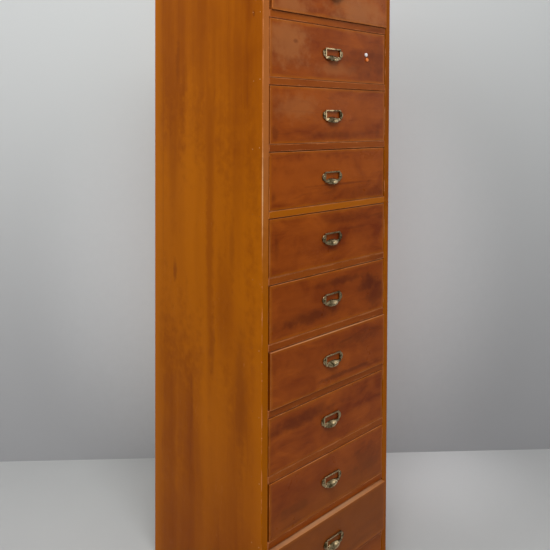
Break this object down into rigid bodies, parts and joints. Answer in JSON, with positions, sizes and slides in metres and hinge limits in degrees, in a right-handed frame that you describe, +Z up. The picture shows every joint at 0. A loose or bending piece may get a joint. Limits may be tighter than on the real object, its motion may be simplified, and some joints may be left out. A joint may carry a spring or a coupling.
{
  "type": "flat file cabinet",
  "caption": "Tall narrow wooden chest of shallow sliding drawers for paper and art supplies, each with a brass card frame and cup pull.",
  "frame": {"origin": "on the floor under the middle of the chest's overall box, with the drawers at rest", "axes": "+Z up; the drawer fronts face -Y; +X is to the right of a person facing the drawers"},
  "size_m": [0.492, 0.5122, 1.725],
  "materials": {
    "case_wood": "satin honey-orange varnish over straight grain",
    "front_wood": "glossy red-brown varnish over figured grain",
    "inside_wood": "bare planed softwood",
    "sheet_wood": "bare plywood",
    "pull_brass": "aged, polished where it is touched",
    "pin_white": "white enamel",
    "pin_orange": "orange enamel"
  },
  "bodies": {
    "case": {"side_panel_left": "case_wood", "side_panel_right": "case_wood", "top_board": "case_wood", "bottom_board": "case_wood", "plinth_board": "case_wood", "back_panel": "sheet_wood", "runner_ladder_left": "inside_wood", "runner_ladder_right": "inside_wood", "front_rail_01": "case_wood", "front_rail_02": "case_wood", "front_rail_03": "case_wood", "front_rail_04": "case_wood", "front_rail_05": "case_wood", "front_rail_06": "case_wood", "front_rail_07": "case_wood", "front_rail_08": "case_wood", "front_rail_09": "case_wood"},
    "drawer_01": {"drawer_front_01": "front_wood", "drawer_box_01": "inside_wood", "drawer_bottom_01": "sheet_wood", "drawer_pull_01": "pull_brass"},
    "drawer_02": {"drawer_front_02": "front_wood", "drawer_box_02": "inside_wood", "drawer_bottom_02": "sheet_wood", "drawer_pull_02": "pull_brass", "drawing_pin_white": "pin_white", "drawing_pin_orange": "pin_orange"},
    "drawer_03": {"drawer_front_03": "front_wood", "drawer_box_03": "inside_wood", "drawer_bottom_03": "sheet_wood", "drawer_pull_03": "pull_brass"},
    "drawer_04": {"drawer_front_04": "front_wood", "drawer_box_04": "inside_wood", "drawer_bottom_04": "sheet_wood", "drawer_pull_04": "pull_brass"},
    "drawer_05": {"drawer_front_05": "front_wood", "drawer_box_05": "inside_wood", "drawer_bottom_05": "sheet_wood", "drawer_pull_05": "pull_brass"},
    "drawer_06": {"drawer_front_06": "front_wood", "drawer_box_06": "inside_wood", "drawer_bottom_06": "sheet_wood", "drawer_pull_06": "pull_brass"},
    "drawer_07": {"drawer_front_07": "front_wood", "drawer_box_07": "inside_wood", "drawer_bottom_07": "sheet_wood", "drawer_pull_07": "pull_brass"},
    "drawer_08": {"drawer_front_08": "front_wood", "drawer_box_08": "inside_wood", "drawer_bottom_08": "sheet_wood", "drawer_pull_08": "pull_brass"},
    "drawer_09": {"drawer_front_09": "front_wood", "drawer_box_09": "inside_wood", "drawer_bottom_09": "sheet_wood", "drawer_pull_09": "pull_brass"},
    "drawer_10": {"drawer_front_10": "front_wood", "drawer_box_10": "inside_wood", "drawer_bottom_10": "sheet_wood", "drawer_pull_10": "pull_brass"}
  },
  "joints": [
    {"name": "drawer_01_slide", "type": "slide", "parent": "case", "child": "drawer_01", "axis": [0, -1, 0], "range_m": [-0.004, 0.356]},
    {"name": "drawer_02_slide", "type": "slide", "parent": "case", "child": "drawer_02", "axis": [0, -1, 0], "range_m": [-0.0005, 0.3595]},
    {"name": "drawer_03_slide", "type": "slide", "parent": "case", "child": "drawer_03", "axis": [0, -1, 0], "range_m": [-0.0005, 0.3595]},
    {"name": "drawer_04_slide", "type": "slide", "parent": "case", "child": "drawer_04", "axis": [0, -1, 0], "range_m": [-0.0005, 0.3595]},
    {"name": "drawer_05_slide", "type": "slide", "parent": "case", "child": "drawer_05", "axis": [0, -1, 0], "range_m": [-0.001, 0.359]},
    {"name": "drawer_06_slide", "type": "slide", "parent": "case", "child": "drawer_06", "axis": [0, -1, 0], "range_m": [-0.0005, 0.3595]},
    {"name": "drawer_07_slide", "type": "slide", "parent": "case", "child": "drawer_07", "axis": [0, -1, 0], "range_m": [-0.0035, 0.3565]},
    {"name": "drawer_08_slide", "type": "slide", "parent": "case", "child": "drawer_08", "axis": [0, -1, 0], "range_m": [-0.0005, 0.3595]},
    {"name": "drawer_09_slide", "type": "slide", "parent": "case", "child": "drawer_09", "axis": [0, -1, 0], "range_m": [-0.001, 0.359]},
    {"name": "drawer_10_slide", "type": "slide", "parent": "case", "child": "drawer_10", "axis": [0, -1, 0], "range_m": [-0.012, 0.348]}
  ]
}
